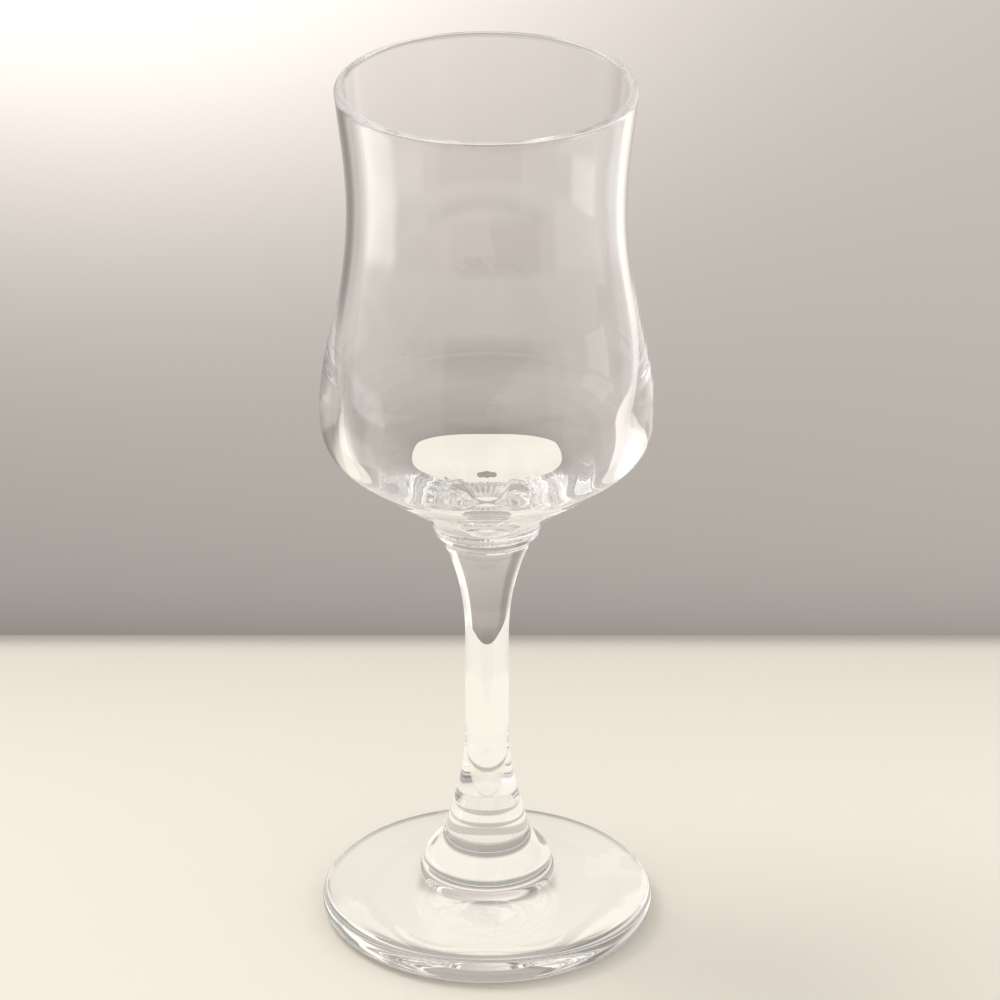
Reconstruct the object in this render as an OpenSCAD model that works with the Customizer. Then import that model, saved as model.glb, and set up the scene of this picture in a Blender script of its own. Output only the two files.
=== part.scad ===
// Cordial glass: a waisted bowl on a drawn stem and a disc foot, in clear glass.
// Five pieces of hot glass are fused in line, each a turned solid about the Z axis.
// The origin is the middle of the resting ring, on the table. Millimetres, +Z up.

/* [Foot] */
// Diameter of the foot
foot_d = 48.3; // [42:0.1:56]
// Thickness of the foot at its rounded edge
foot_edge_t = 4.1; // [3:0.1:5]
// Diameter of the cushion at its shoulder
cushion_d = 18.7; // [16:0.1:21]
// Height of the cushion's shoulder above the table
cushion_h = 8.9; // [8:0.1:10]
// Rounding of the cushion's shoulder, along its wall and its cone
cushion_round = 0.8; // [0.5:0.1:1.5]
// Height of the whole foot, up to the ankle ring
foot_h = 13.6; // [12:0.1:16]
// Rounding of the crown's edge round the ankle ring
crown_round = 0.4; // [0.2:0.1:1]
// Inner diameter of the ring that the foot rests on
rest_d = 33; // [28:0.1:36]
// Depth of the hollow inside that ring
hollow_t = 0.9; // [0.4:0.1:1.6]

/* [Ankle ring] */
// Height of the ankle ring
ankle_h = 2.6; // [1.5:0.1:4]
// Diameter of the ankle ring at the foot
ankle_d = 11.9; // [11.2:0.1:13]
// Rounding of the rings' edges, where they are fused
ring_round = 0.2; // [0.1:0.05:0.35]

/* [Stem] */
// Diameter of the stem in its middle
stem_d = 6.3; // [5:0.1:8]
// Diameter of the stem at the ankle ring
stem_low_d = 11; // [9:0.1:12.5]
// Diameter of the stem at the neck ring
stem_high_d = 12.2; // [10:0.1:13.5]
// Length of the lower flare
low_flare_l = 14.7; // [10:0.1:20]
// Length of the straight middle
straight_l = 13.6; // [6:0.1:30]
// Length of the upper flare
high_flare_l = 15.1; // [10:0.1:20]

/* [Neck ring] */
// Height of the neck ring
neck_h = 3; // [2:0.1:4]
// Height of the rim of the neck ring, below the bowl
neck_rim_h = 0.6; // [0.4:0.1:1]

/* [Bowl outside] */
// Diameter of the bowl's base, at the neck ring
base_d = 15.3; // [14:0.1:18]
// Height from the base to the cone's upper end
cone_h = 7.8; // [6.5:0.1:9.5]
// Diameter at the cone's upper end
cone_d = 32.4; // [29:0.1:36]
// Height from the cone to the belly
shoulder_h = 10.5; // [8.5:0.1:13]
// Diameter of the belly
belly_d = 47.6; // [44:0.1:54]
// Height from the belly to the waist
swell_h = 30.7; // [24:0.1:38]
// Diameter of the waist
waist_d = 39.4; // [36:0.1:42]
// Height from the waist to the rim
lip_h = 18.4; // [12:0.1:24]
// Diameter of the rim
rim_d = 42.3; // [40:0.1:48]

/* [Bowl wall] */
// Thickness of the wall at the rim
rim_t = 1.3; // [0.9:0.05:2]
// Thickness of the wall at the waist
waist_t = 1.3; // [1:0.05:2.2]
// How much the inside is narrower at its widest than the belly, on each side
belly_t = 2.5; // [2:0.05:3.3]
// Height of the inside's widest point above the belly
inner_lift_h = 6.4; // [4:0.1:8]
// Thickness of the wall at the cone's upper end
cone_t = 3.25; // [2.4:0.05:3.9]
// Diameter of the dip in the middle of the inner floor
dip_d = 7.5; // [6:0.1:9]
// Depth of that dip
dip_h = 2; // [1.4:0.1:2.6]
// Height of solid glass in the middle, from the base to the bottom of the dip
floor_t = 3.2; // [2.5:0.1:4.5]

/* [Hidden] */
$fn = 96;
clear_glass = [0.90, 0.94, 0.94, 0.45];

// Slopes of the outlines from the horizontal, in degrees
plate_slope = 164;
hollow_slope = 8;
cone_slope = 42;
base_slope = 66;
rim_slope = 85;
dip_slope = 29;
flank_slope = 29;
low_flare_slope = 108;
high_flare_slope = 66;
neck_low_slope = 80;
neck_high_slope = 50;

// Steps of each curve
curve_steps = 12;
round_steps = 6;

// Radii worked out from the diameters
foot_r = foot_d / 2;
edge_r = foot_edge_t / 2;
rest_r = rest_d / 2;
cushion_r = cushion_d / 2;
ankle_r = ankle_d / 2;
stem_r = stem_d / 2;
stem_low_r = stem_low_d / 2;
stem_high_r = stem_high_d / 2;
base_r = base_d / 2;
cone_r = cone_d / 2;
dip_r = dip_d / 2;
belly_r = belly_d / 2;
waist_r = waist_d / 2;
lip_r = rim_t / 2;
rim_r = rim_d / 2;

// Heights of the welds above the table, and of the bowl's stations above its base
ankle_z = foot_h;
stem_z = ankle_z + ankle_h;
neck_z = stem_z + low_flare_l + straight_l + high_flare_l;
bowl_z = neck_z + neck_h;
belly_z = cone_h + shoulder_h;
waist_z = belly_z + swell_h;
rim_z = waist_z + lip_h;

// How far each curve's handles reach at its two ends, as shares of the straight line between them
hollow_shares = [0.5, 0.3];
plate_shares = [0.78, 0.1];
corner_shares = [0.35, 0.35];
low_flare_shares = [0.35, 0.4];
high_flare_shares = [0.4, 0.3];
neck_shares = [0.4, 0.3];
base_shares = [0.3, 0.16];
shoulder_shares = [0.44, 0.5];
swell_shares = [0.31, 0.44];
lip_shares = [0.4, 0.33];
dip_shares = [0.45, 0.25];
floor_shares = [0.33, 0.33];
flank_shares = [0.21, 0.77];

// A unit vector that rises at a slope, in the plane of an outline
function rise(slope) = [cos(slope), sin(slope)];

// The unit vector square to it, on the inner side of an outline
function inward(slope) = [-sin(slope), cos(slope)];

// Points of a cubic curve from a to b, which leaves along from and arrives along to, without the last
function curve(a, from, b, to, shares, steps = curve_steps) =
    let (reach = norm(b - a), p = a + from * reach * shares[0], q = b - to * reach * shares[1])
    [for (i = [0 : steps - 1])
        let (t = i / steps, u = 1 - t)
        a * u * u * u + 3 * p * u * u * t + 3 * q * u * t * t + b * t * t * t];

// Points of an arc about a centre, from one angle to another, with both ends
function arc(centre, r, from, to, steps = round_steps) =
    [for (i = [0 : steps]) centre + r * rise(from + (to - from) * i / steps)];

// A solid turned about the Z axis from an outline of [radius, height] points
module turned(outline) {
    color(clear_glass) rotate_extrude() polygon(outline);
}

// Outside of the bowl, from its base to the rim
function bowl_outside() = concat(
    curve([base_r, 0], rise(base_slope), [cone_r, cone_h], rise(cone_slope), base_shares),
    curve([cone_r, cone_h], rise(cone_slope), [belly_r, belly_z], rise(90), shoulder_shares),
    curve([belly_r, belly_z], rise(90), [waist_r, waist_z], rise(90), swell_shares),
    curve([waist_r, waist_z], rise(90), [rim_r, rim_z - lip_r], rise(rim_slope), lip_shares));

// Inside of the bowl, from the middle of its floor to the rim
function bowl_inside() =
    let (
        dip = [dip_r, floor_t + dip_h],
        flank = [cone_r, cone_h] + cone_t * inward(cone_slope),
        belly = [belly_r - belly_t, belly_z + inner_lift_h],
        waist = [waist_r - waist_t, waist_z])
    concat(
        curve([0, floor_t], rise(0), dip, rise(dip_slope), dip_shares),
        curve(dip, rise(dip_slope), flank, rise(flank_slope), floor_shares),
        curve(flank, rise(flank_slope), belly, rise(90), flank_shares),
        curve(belly, rise(90), waist, rise(90), swell_shares),
        curve(waist, rise(90), [rim_r - rim_t, rim_z - lip_r], rise(rim_slope), lip_shares));

// The same points from the last to the first
function back(points) = [for (i = [len(points) - 1 : -1 : 0]) points[i]];

// The cup: thin at the fire-polished lip and solid at its base
module bowl() {
    translate([0, 0, bowl_z])
        turned(concat(
            [[0, 0]],
            bowl_outside(),
            arc([rim_r - lip_r, rim_z - lip_r], lip_r, 0, 180),
            back(bowl_inside())));
}

// The wafer between bowl and stem, drawn in to the stem below
module neck_ring() {
    translate([0, 0, neck_z])
        turned(concat(
            [[0, 0]],
            curve([stem_high_r, 0], rise(neck_low_slope), [base_r, neck_h - neck_rim_h],
                rise(neck_high_slope), neck_shares),
            arc([base_r - ring_round, neck_h - ring_round], ring_round, 0, 90),
            [[0, neck_h]]));
}

// The solid drawn stem, slender in the middle and flared at both ends
module stem() {
    high_flare_z = low_flare_l + straight_l;
    stem_l = high_flare_z + high_flare_l;
    translate([0, 0, stem_z])
        turned(concat(
            [[0, 0]],
            curve([stem_low_r, 0], rise(low_flare_slope), [stem_r, low_flare_l], rise(90),
                low_flare_shares),
            curve([stem_r, high_flare_z], rise(90), [stem_high_r, stem_l], rise(high_flare_slope),
                high_flare_shares),
            [[stem_high_r, stem_l], [0, stem_l]]));
}

// The wafer between stem and foot: a plain band with rounded edges
module ankle_ring() {
    translate([0, 0, ankle_z])
        turned(concat(
            [[0, 0]],
            arc([ankle_r - ring_round, ring_round], ring_round, -90, 0),
            arc([stem_low_r - ring_round, ankle_h - ring_round], ring_round, 0, 90),
            [[0, ankle_h]]));
}

// The foot: a disc with a rounded edge and a cushion in its middle, hollow underneath
module foot() {
    edge = [foot_r - edge_r, edge_r];
    edge_top = edge + edge_r * rise(plate_slope - 90);
    shoulder = [cushion_r, cushion_h];
    crown = [ankle_r + crown_round, foot_h];
    climb = (crown - shoulder) / norm(crown - shoulder);
    turned(concat(
        curve([0, hollow_t], rise(0), [rest_r, 0], rise(-hollow_slope), hollow_shares),
        [[rest_r, 0]],
        arc(edge, edge_r, -90, plate_slope - 90, curve_steps),
        curve(edge_top, rise(plate_slope), shoulder - cushion_round * rise(90), rise(90), plate_shares),
        curve(shoulder - cushion_round * rise(90), rise(90), shoulder + cushion_round * climb, climb,
            corner_shares),
        [shoulder + cushion_round * climb],
        curve(crown - crown_round * climb, climb, [ankle_r, foot_h], rise(180), corner_shares),
        [[ankle_r, foot_h], [0, foot_h]]));
}

bowl();
neck_ring();
stem();
ankle_ring();
foot();
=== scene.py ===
import math

import bpy
import numpy as np
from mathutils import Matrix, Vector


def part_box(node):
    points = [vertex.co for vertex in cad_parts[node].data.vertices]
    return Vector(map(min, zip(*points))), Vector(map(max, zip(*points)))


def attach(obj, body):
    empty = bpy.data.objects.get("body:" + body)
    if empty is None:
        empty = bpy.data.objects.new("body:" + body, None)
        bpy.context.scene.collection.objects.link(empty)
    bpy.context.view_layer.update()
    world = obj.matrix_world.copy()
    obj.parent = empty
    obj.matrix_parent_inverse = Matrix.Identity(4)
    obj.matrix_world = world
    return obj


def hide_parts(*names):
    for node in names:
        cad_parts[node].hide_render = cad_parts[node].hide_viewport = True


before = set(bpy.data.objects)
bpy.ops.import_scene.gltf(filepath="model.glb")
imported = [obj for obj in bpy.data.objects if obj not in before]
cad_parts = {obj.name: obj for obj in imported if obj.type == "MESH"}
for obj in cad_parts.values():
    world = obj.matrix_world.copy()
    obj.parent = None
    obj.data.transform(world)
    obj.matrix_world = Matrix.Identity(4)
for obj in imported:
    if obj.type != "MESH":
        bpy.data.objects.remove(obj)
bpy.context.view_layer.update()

mm = 0.001


# Camera: a long lens looks down on the rim from the photograph's place. The picture's middle
# is level with the upper stem, and the glass stands a little to the left of it.
camera = bpy.data.objects.new("camera", bpy.data.cameras.new("camera"))
bpy.context.scene.collection.objects.link(camera)
bpy.context.scene.camera = camera
camera.data.sensor_width = 36
camera.data.lens = 217.6
camera.data.clip_start, camera.data.clip_end = 0.01, 50
looks_down = math.radians(25.8)
camera.location = (1.87 * mm, -777 * mm, 442 * mm)
camera.rotation_euler = (math.pi / 2 - looks_down, 0, 0)
bpy.context.scene.view_settings.view_transform = "Standard"


# Stage: a cream sill, a grey wall close behind it and the room in front. The camera itself sees the
# sill with painted shade towards the wall, and the wall with painted light and shade. Rays that the
# glass bends or mirrors see painted brightness of their own there, set for the main camera. The wall
# has only a front, so that it never hides the glass from behind.
class Term:
    """A socket in a sum of shader maths. Operators add Math nodes; node() adds any other node."""

    def __init__(self, tree, socket=None):
        self.tree, self.socket = tree, socket

    def node(self, kind, inputs=(), output=0, stops=(), **settings):
        """Adds a node: its settings and a ramp's stops first, then its sockets' values or links."""
        made = self.tree.nodes.new(kind)
        for name, value in settings.items():
            setattr(made, name, value)
        for i, (place, colour) in enumerate(stops):
            ramp = made.color_ramp.elements
            stop = ramp[i] if i < 2 else ramp.new(place)
            stop.position, stop.color = place, colour
        pairs = inputs.items() if isinstance(inputs, dict) else enumerate(inputs)
        for name, value in pairs:
            if isinstance(value, Term):
                self.tree.links.new(value.socket, made.inputs[name])
            else:
                made.inputs[name].default_value = value
        return Term(self.tree, made.outputs[output] if len(made.outputs) else None)

    def maths(self, operation, *values):
        return self.node("ShaderNodeMath", values, operation=operation)

    def between(self, low, high):
        """Rises smoothly from 0 at low to 1 at high."""
        return self.node("ShaderNodeMapRange", {0: self, 1: low, 2: high},
                         interpolation_type="SMOOTHSTEP")

    def limit(self, low, high):
        return self.maths("MAXIMUM", self.maths("MINIMUM", self, high), low)

    def __add__(self, other): return self.maths("ADD", self, other)
    def __radd__(self, other): return self.maths("ADD", other, self)
    def __sub__(self, other): return self.maths("SUBTRACT", self, other)
    def __rsub__(self, other): return self.maths("SUBTRACT", other, self)
    def __mul__(self, other): return self.maths("MULTIPLY", self, other)
    def __rmul__(self, other): return self.maths("MULTIPLY", other, self)
    def __truediv__(self, other): return self.maths("DIVIDE", self, other)
    def __rtruediv__(self, other): return self.maths("DIVIDE", other, self)
    def __pow__(self, other): return self.maths("POWER", self, other)


def shader_tree(owner):
    """The emptied node tree of a material or world, and a term to start its maths from."""
    owner.use_nodes = True
    owner.node_tree.nodes.clear()
    return Term(owner.node_tree)


def place_of(start):
    """The three Object coordinates of a material, in metres."""
    spot = start.node("ShaderNodeTexCoord", output=3)
    return [start.node("ShaderNodeSeparateXYZ", [spot], output=i) for i in range(3)]


def tinted(value, colour):
    """A colour made stronger or weaker by a value."""
    grey = value.node("ShaderNodeCombineColor", [value, value, value])
    return value.node("ShaderNodeMix", {0: 1.0, 6: grey, 7: (*colour, 1)}, 2,
                      data_type="RGBA", blend_type="MULTIPLY")


def blended(share, first, second):
    """Two shaders by a share, 0 the first and 1 the second."""
    return share.node("ShaderNodeMixShader", [share, first, second])


def flat_stage(name, corners):
    """One flat face through its corners, with a material of the same name, and that material's
    emptied node tree.
    """
    mesh = bpy.data.meshes.new(name)
    mesh.from_pydata(corners, [], [range(len(corners))])
    thing = bpy.data.objects.new(name, mesh)
    bpy.context.scene.collection.objects.link(thing)
    thing.data.materials.append(bpy.data.materials.new(name))
    return thing, shader_tree(thing.data.materials[0])


def band(value, low, high, soft):
    """1 between low and high and 0 outside, with soft edges."""
    return value.between(low - soft, low + soft) - value.between(high - soft, high + soft)


def sees(start):
    """Whether the camera itself looks at a surface, and whether it is mirrored or refracted."""
    looks, mirrored, refracted = [start.node("ShaderNodeLightPath", output=i) for i in (0, 4, 6)]
    return looks, (mirrored + refracted).limit(0, 1)


wall_y = 87.5 * mm
floor_z = -0.05 * mm
far = 6.0
floor_colour = (0.965, 0.913, 0.823)
wall_tint = (1.082, 1.0, 0.916)
sill_x, sill_front, sill_back, sill_top = (-0.15, 0.09), -0.07, 0.2, 0.22
edge_soft = 2 * mm

floor, start = flat_stage("floor", [(-far, -far, floor_z), (far, -far, floor_z),
                                    (far, far, floor_z), (-far, far, floor_z)])
x, y, z = place_of(start)
# Painted shade: the sill darkens towards the wall, broadly and in a narrow line at the corner itself.
corner_reach, corner_line_reach = 30 * mm, 3.3 * mm
corner_dark, corner_line_shade = 0.22, 0.34
into_corner = ((y - wall_y) / corner_reach).limit(-40, 0)
corner_line = (y - wall_y) / corner_line_reach
corner_shade = (corner_dark * start.maths("EXPONENT", into_corner)
                + corner_line_shade * start.maths("EXPONENT", (corner_line * corner_line).limit(0, 40) * -1))
cream = start.node("ShaderNodeBsdfDiffuse", {"Color": tinted(1 - corner_shade, floor_colour)})
on_sill = band(x, *sill_x, edge_soft) * band(y, sill_front, sill_back, edge_soft)
clear_way = start.node("ShaderNodeBsdfTransparent")
looks, sharp = sees(start)
reach = start.maths("SQRT", x * x + y * y)
# Painted shadow on the sill under the foot, seen only through the glass: a dark spot and a dark ring.
spot_dark, spot_r, spot_end_r = 0.7, 8.5 * mm, 10 * mm
ring_in_r, ring_out_r, ring_soft = 23.1 * mm, 28.5 * mm, 0.9 * mm
painted_foot_shadow = (spot_dark * (1 - reach.between(spot_r, spot_end_r)) * y.between(-2 * mm, 2 * mm)
           + band(reach, ring_in_r, ring_out_r, ring_soft))
lit = start.node("ShaderNodeEmission", [(0.965, 0.92, 0.82, 1), 1.0])
painted_shadow = start.node("ShaderNodeEmission", [(0.42, 0.42, 0.38, 1), 1.0])
through = blended(painted_foot_shadow, lit, painted_shadow)
seen = blended(sharp, cream, through)
start.node("ShaderNodeOutputMaterial", [blended(sharp * (1 - on_sill), seen, clear_way)])

wall, start = flat_stage("wall", [(-far, wall_y, floor_z), (far, wall_y, floor_z),
                                  (far, wall_y, far), (-far, wall_y, far)])
x, y, z = place_of(start)
# Painted light on the wall: a pool of light at the upper left, brighter upward and to the right, and
# painted shade at its foot.
glow_left, glow_height, glow_wide, glow_tall = 64 * mm, 131 * mm, 82 * mm, 52 * mm
glow_peak = 0.81
glow_x = (x + glow_left) / glow_wide
glow_z = (z - glow_height) / glow_tall
glow = glow_peak * start.maths("EXPONENT", (glow_x * glow_x + glow_z * glow_z).limit(0, 40) * -1)
shade_dark, shade_h = 0.1, 8 * mm
foot_shade = shade_dark * start.maths("EXPONENT", (z / -shade_h).limit(-40, 0))
wall_level, up_gain, right_gain = 0.388, 1.07, 0.34
brightness = (wall_level + up_gain * z.limit(0, 0.14) + right_gain * x.limit(-0.2, 0.2)
              - foot_shade)
# Rays bent or mirrored by the glass see a painted dark patch at the wall's left and a painted bright
# one at its right, which the camera does not.
right_part = 1.05
left_part = 0.27 + 12 * (-0.073 - x).limit(0, 0.036)
looks, sharp = sees(start)
turned_left = sharp * (x * -1).between(0.032, 0.048)
turned_right = sharp * x.between(0.052, 0.057)
straight = brightness + glow * (1 - 0.4 * sharp)
shown = (straight * (1 - turned_left - turned_right) + left_part * turned_left
         + right_part * turned_right)
wall_light = start.node("ShaderNodeEmission", [tinted(shown, wall_tint), 1.0])
front = 1 - start.node("ShaderNodeNewGeometry", output=6)
on_wall = (looks + sharp * band(x, *sill_x, edge_soft) * band(z, -1, sill_top, edge_soft)).limit(0, 1)
clear_way = start.node("ShaderNodeBsdfTransparent")
start.node("ShaderNodeOutputMaterial", [blended(on_wall * front, clear_way, wall_light)])

world = bpy.data.worlds.new("room")
bpy.context.scene.world = world
start = shader_tree(world)
way = start.node("ShaderNodeTexCoord", output=0)
wx, wy, wz = [start.node("ShaderNodeSeparateXYZ", [way], output=i) for i in range(3)]
right_turn = start.maths("ARCTAN2", wx, wy * -1) * (180 / math.pi)
left_turn = right_turn * -1
# The room for such rays, by direction in degrees from the front: dark there, bright at the left.
room = (0.07 + 0.53 * left_turn.between(30, 33) + 1.55 * left_turn.between(79, 86)
        - 1.1 * left_turn.between(112, 122) + 0.43 * right_turn.between(43, 46)
        + 0.7 * right_turn.between(55, 63))
upper = 0.36 + 0.66 * left_turn.between(16, 32)
room = room + (upper - room) * wz.between(0.1, 0.22)
# Two ranges of downward directions are pale, for views from the sides and the back at 15 degrees.
# Between them the room stays as it is, so those views show dark or white parts low in the bowl.
table_pale = 0.9
downward = band(wz, -0.345, -0.1, 0.03) + 1 - wz.between(-0.58, -0.5)
room = room + (table_pale - room) * downward
looks, sharp = sees(start)
daylight = start.node("ShaderNodeBackground", [(1.0, 0.98, 0.95, 1), 0.75])
room_light = start.node("ShaderNodeBackground", [tinted(room, (1.0, 0.98, 0.96)), 1.0])
pale = start.node("ShaderNodeBackground", [(0.55, 0.52, 0.49, 1), 1.0])
start.node("ShaderNodeOutputWorld", [blended(looks, blended(sharp, daylight, room_light), pale)])

window = bpy.data.objects.new("window", bpy.data.lights.new("window", "AREA"))
bpy.context.scene.collection.objects.link(window)
window.data.shape = "RECTANGLE"
window.data.size, window.data.size_y = 0.45, 0.45
window.data.energy = 2.5
window.data.color = (1.0, 0.98, 0.95)
window.location = (-0.38, 0.2, 0.84)
window.rotation_euler = (0.0, math.radians(-27), math.radians(-28))
window.visible_camera = window.visible_glossy = window.visible_transmission = False

# Thick glass turns light many times before it lets it out, the lip most of all.
cycles = bpy.context.scene.cycles
cycles.max_bounces = cycles.transmission_bounces = cycles.glossy_bounces = 400
cycles.transparent_max_bounces = 64


# Bowl: the cup, blown thin at the fire-polished lip, drawn in at the waist and thickening from
# the belly into a solid base. Clear colourless glass with the faint waviness of blown ware.
def rise(slope):
    """The unit vector that rises at a slope in degrees, as [radius, height]."""
    return np.array([math.cos(math.radians(slope)), math.sin(math.radians(slope))])


def curve(a, leaves, b, arrives, shares, steps=30):
    """Points of the cubic from a to b, without b. Each handle reaches its share of the straight
    line between them, along the slope at which the curve leaves a or arrives at b."""
    a, b = np.array(a, float), np.array(b, float)
    reach = np.linalg.norm(b - a)
    p, q = a + rise(leaves) * reach * shares[0], b - rise(arrives) * reach * shares[1]
    t = np.linspace(0, 1, steps, endpoint=False)[:, None]
    return a * (1 - t) ** 3 + 3 * p * (1 - t) ** 2 * t + 3 * q * (1 - t) * t ** 2 + b * t ** 3


def arc(centre, r, start_turn, end_turn, steps=16):
    """Points of an arc about a centre, from one angle to another, with both ends."""
    t = np.radians(np.linspace(start_turn, end_turn, steps))
    return np.array(centre) + r * np.stack([np.cos(t), np.sin(t)], 1)


def turned(name, outline, lift, weld_r=(), ripple=None, around=288):
    """A closed skin turned about Z from an outline of [radius, height] in millimetres, from
    pole to pole, raised by lift. Grid point (i, j) is outline point j, carried to the angle of
    step i and moved along the outline's normal by ripple(angle, outline). Flat ends at the
    heights in weld_r, up to the radius given there, are where the next piece is fused on."""
    outline = np.concatenate([np.atleast_2d(part) for part in outline])
    keep = np.ones(len(outline), bool)
    keep[1:] = np.linalg.norm(np.diff(outline, axis=0), axis=1) > 1e-5
    outline = outline[keep]
    along = np.gradient(outline, axis=0)
    along /= np.linalg.norm(along, axis=1)[:, None]
    normal = np.stack([along[:, 1], -along[:, 0]], 1)
    angle = np.linspace(0, 2 * math.pi, around, endpoint=False)
    inner = outline[1:-1]
    grid = np.repeat(inner[None], around, 0)
    if ripple:
        grid = grid + ripple(angle[:, None], inner[None])[..., None] * normal[None, 1:-1]
    spots = np.stack([grid[..., 0] * np.cos(angle)[:, None], grid[..., 0] * np.sin(angle)[:, None],
                      grid[..., 1]], -1).reshape(-1, 3)
    poles = np.array([[0, 0, outline[0, 1]], [0, 0, outline[-1, 1]]])
    spots = np.concatenate([spots, poles]) + [0, 0, lift]
    rows = len(inner)
    i = np.arange(around)[:, None]
    j = np.arange(rows - 1)[None]
    here, there = i * rows, (i + 1) % around * rows
    quads = np.stack([here + j, there + j, there + j + 1, here + j + 1], -1).reshape(-1, 4)
    first, last = around * rows, around * rows + 1
    fans = [np.stack([np.full(around, first), there[:, 0], here[:, 0]], 1),
            np.stack([np.full(around, last), here[:, 0] + rows - 1, there[:, 0] + rows - 1], 1)]
    faces = quads.tolist() + fans[0].tolist() + fans[1].tolist()
    mesh = bpy.data.meshes.new(name)
    mesh.from_pydata((spots * mm).tolist(), [], faces)
    mesh.polygons.foreach_set("use_smooth", np.ones(len(faces), bool))
    middle = np.zeros(len(faces) * 3)
    mesh.polygons.foreach_get("center", middle)
    middle = middle.reshape(-1, 3) / mm - [0, 0, lift]
    fused = np.zeros(len(faces), int)
    for height, reach in weld_r:
        level = abs(middle[:, 2] - height) < 1e-3
        fused[level & (np.hypot(middle[:, 0], middle[:, 1]) < reach)] = 1
    mesh.polygons.foreach_set("material_index", fused)
    mesh.set_sharp_from_angle(angle=math.radians(30))
    mesh.update()
    piece = bpy.data.objects.new(name, mesh)
    bpy.context.scene.collection.objects.link(piece)
    return piece


def clear_glass(name, stretch, wave, smears):
    """Clear glass, hardly tinted. Faint cords run along its skin, stretched by so much on x, y and
    z, wave deep in metres. Wiping has left a few dull smears, and here and there lies a speck of
    dust or a seed the size of a pinprick."""
    look = bpy.data.materials.new(name)
    start = shader_tree(look)
    spot = start.node("ShaderNodeTexCoord", output=3)
    drawn = start.node("ShaderNodeMapping", {0: spot, 3: stretch})
    cords = start.node("ShaderNodeTexNoise", {"Vector": drawn, "Scale": 1.0, "Detail": 1.5})
    wiped = start.node("ShaderNodeMapping", {0: spot, 2: (0.3, 0.5, 0.2), 3: (90, 90, 30)})
    smear = start.node("ShaderNodeTexNoise", {
        "Vector": wiped, "Scale": 1.0, "Detail": 4.0, "Distortion": 1.2})
    dull = smears * smear.between(0.6, 0.78)
    seed = start.node("ShaderNodeTexVoronoi", {"Vector": spot, "Scale": 160.0, "Randomness": 1.0})
    few = start.node("ShaderNodeTexNoise", {"Vector": spot, "Scale": 230.0, "Detail": 0.0})
    speck = (1 - seed.between(0.03, 0.05)) * few.between(0.62, 0.66)
    height = cords + 2.0 * speck
    bump = start.node("ShaderNodeBump", {"Height": height, "Strength": 1.0, "Distance": wave})
    glass = start.node("ShaderNodeBsdfPrincipled", {
        "Base Color": (0.998, 0.99, 0.982, 1), "Roughness": dull, "IOR": 1.5,
        "Transmission Weight": 1.0, "Normal": bump})
    start.node("ShaderNodeOutputMaterial", [glass])
    return look


fused_joint = bpy.data.materials.new("fused_joint")
start = shader_tree(fused_joint)
start.node("ShaderNodeOutputMaterial", [start.node("ShaderNodeBsdfTransparent")])


def finish_piece(piece, node, look):
    """Gives a piece its glass and its open joints, and puts it in its CAD node's place."""
    piece.data.materials.append(look)
    piece.data.materials.append(fused_joint)
    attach(piece, "root")
    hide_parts(node)


base_r, cone, belly, waist, rim = 7.65, (16.2, 7.8), (23.8, 18.3), (19.7, 49.0), (21.15, 67.4)
rim_t, waist_t, belly_t, floor_t = 1.3, 1.3, 2.3, 3.2
neck_top_r = 7.45
bowl_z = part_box("bowl")[0].z / mm
lip_r = rim_t / 2
lip_z = rim[1] - lip_r
dip = (3.75, floor_t + 2)
flank = (17.4, 10.6)
widest = (belly[0] - belly_t, belly[1] + 4)
bowl_outside = [
    curve((base_r, 0), 66, cone, 42, (0.3, 0.16)),
    curve(cone, 42, belly, 90, (0.44, 0.5)),
    curve(belly, 90, waist, 90, (0.31, 0.44), 60),
    curve(waist, 90, (rim[0], lip_z), 85, (0.4, 0.33))]
bowl_inside = [
    curve((0, floor_t), 0, dip, 29, (0.45, 0.25)),
    curve(dip, 29, flank, 36, (0.33, 0.33)),
    curve(flank, 36, widest, 90, (0.3, 0.65)),
    curve(widest, 90, (waist[0] - waist_t, waist[1]), 90, (0.31, 0.44), 60),
    curve((waist[0] - waist_t, waist[1]), 90, (rim[0] - rim_t, lip_z), 85, (0.4, 0.33))]


def gathered(angle, spot):
    """The fine flutes that hot glass takes where it is drawn in to the neck, 26 round the foot of
    the bowl and gone four millimetres above it."""
    flutes, deep, fade_h, neck_inner_r = 26, 0.05, 2.2, 6
    fade = np.exp(-(spot[..., 1] / fade_h) ** 2)
    return deep * np.cos(flutes * angle) * (spot[..., 0] > neck_inner_r) * fade


bowl = turned("bowl_cup", [
    (0, 0), (neck_top_r / 2, 0), (neck_top_r, 0), *bowl_outside,
    arc((rim[0] - lip_r, lip_z), lip_r, 0, 180),
    np.concatenate(bowl_inside)[::-1]], bowl_z, [(0, neck_top_r)], gathered)
finish_piece(bowl, "bowl", clear_glass("blown_glass", (60, 60, 16), 0.000016, 0.045))


# Neck ring: the wafer of hot glass that takes the bowl, drawn in to the stem below it.
neck_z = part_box("neck_ring")[0].z / mm
neck_h, neck_rim_h, ring_round, stem_high_r = 3.0, 0.6, 0.2, 6.1
neck_ring = turned("neck_wafer", [
    (0, 0), (stem_high_r / 2, 0),
    curve((stem_high_r, 0), 80, (base_r, neck_h - neck_rim_h), 50, (0.4, 0.3)),
    arc((base_r - ring_round, neck_h - ring_round), ring_round, 0, 90, 8),
    (base_r / 2, neck_h), (0, neck_h)], neck_z, [(0, stem_high_r), (neck_h, neck_top_r)])
finish_piece(neck_ring, "neck_ring", clear_glass("neck_glass", (90, 90, 300), 0.00001, 0.02))


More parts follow.
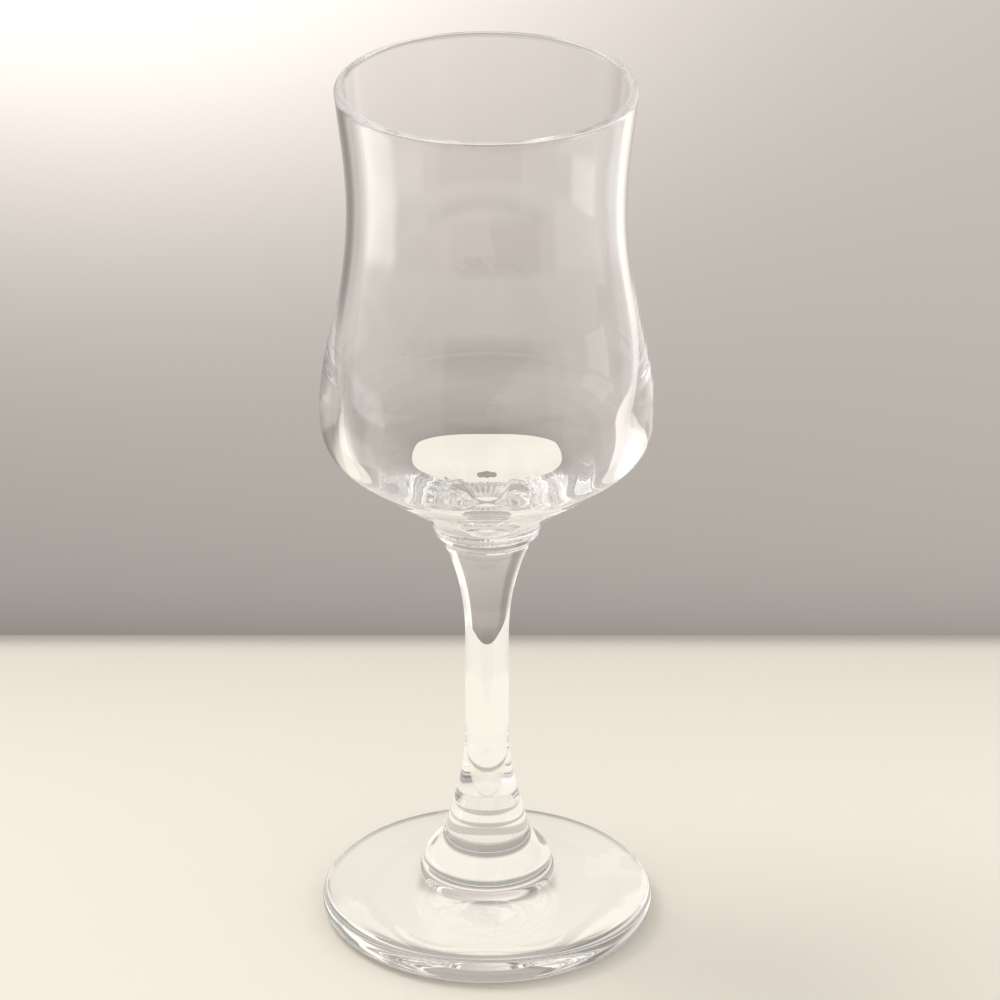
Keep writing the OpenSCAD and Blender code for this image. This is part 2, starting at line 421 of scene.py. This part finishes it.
# Stem: a solid rod drawn out of hot glass, slender in the middle and flared at both ends.
stem_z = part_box("stem")[0].z / mm
stem_low_r, stem_r = 5.5, 3.15
low_flare, straight, high_flare = 14.7, 13.6, 15.1
stem_l = low_flare + straight + high_flare
stem = turned("drawn_stem", [
    (0, 0), (stem_low_r / 2, 0),
    curve((stem_low_r, 0), 108, (stem_r, low_flare), 90, (0.35, 0.4), 50),
    curve((stem_r, low_flare), 90, (stem_r, low_flare + straight), 90, (0.3, 0.3)),
    curve((stem_r, low_flare + straight), 90, (stem_high_r, stem_l), 66, (0.4, 0.3), 50),
    (stem_high_r, stem_l), (stem_high_r / 2, stem_l), (0, stem_l)],
    stem_z, [(0, stem_low_r - ring_round), (stem_l, stem_high_r)])
finish_piece(stem, "stem", clear_glass("drawn_glass", (260, 260, 12), 0.000008, 0.03))


# Ankle ring: a plain band of glass, fused between the stem and the foot.
ankle_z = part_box("ankle_ring")[0].z / mm
ankle_h, ankle_r = 2.6, 5.95
ankle_ring = turned("ankle_wafer", [
    (0, 0), (stem_low_r / 2, 0),
    arc((ankle_r - ring_round, ring_round), ring_round, -90, 0, 8),
    arc((stem_low_r - ring_round, ankle_h - ring_round), ring_round, 0, 90, 8),
    (stem_low_r / 2, ankle_h), (0, ankle_h)],
    ankle_z, [(0, ankle_r - ring_round), (ankle_h, stem_low_r - ring_round)])
finish_piece(ankle_ring, "ankle_ring", clear_glass("ankle_glass", (90, 90, 300), 0.00001, 0.02))


# Foot: a solid pressed disc with a rounded edge and a cushion in its middle. It is slightly
# hollow underneath, so that it stands on a ring.
foot_r, edge_t, rest_r, hollow_t = 24.15, 4.1, 16.5, 0.9
foot_h = 13.6
cushion, crown = (9.35, 8.1), (ankle_r + 0.2, foot_h - 0.1)
edge_r = edge_t / 2
foot = turned("pressed_foot", [
    curve((0, hollow_t), 0, (rest_r, 0), -8, (0.5, 0.3)),
    (rest_r, 0), ((rest_r + foot_r - edge_r) / 2, 0),
    arc((foot_r - edge_r, edge_r), edge_r, -90, 74, 32),
    curve((foot_r - edge_r, edge_r) + edge_r * rise(74), 164, cushion, 90, (0.78, 0.1), 60),
    curve(cushion, 90, crown, 115, (0.35, 0.35), 40),
    curve(crown, 115, (ankle_r, foot_h), 180, (0.35, 0.35), 6),
    (ankle_r, foot_h), (ankle_r - ring_round, foot_h), (ankle_r / 2, foot_h), (0, foot_h)],
    0, [(foot_h, ankle_r - ring_round)])
finish_piece(foot, "foot", clear_glass("pressed_glass", (70, 70, 40), 0.00002, 0.06))
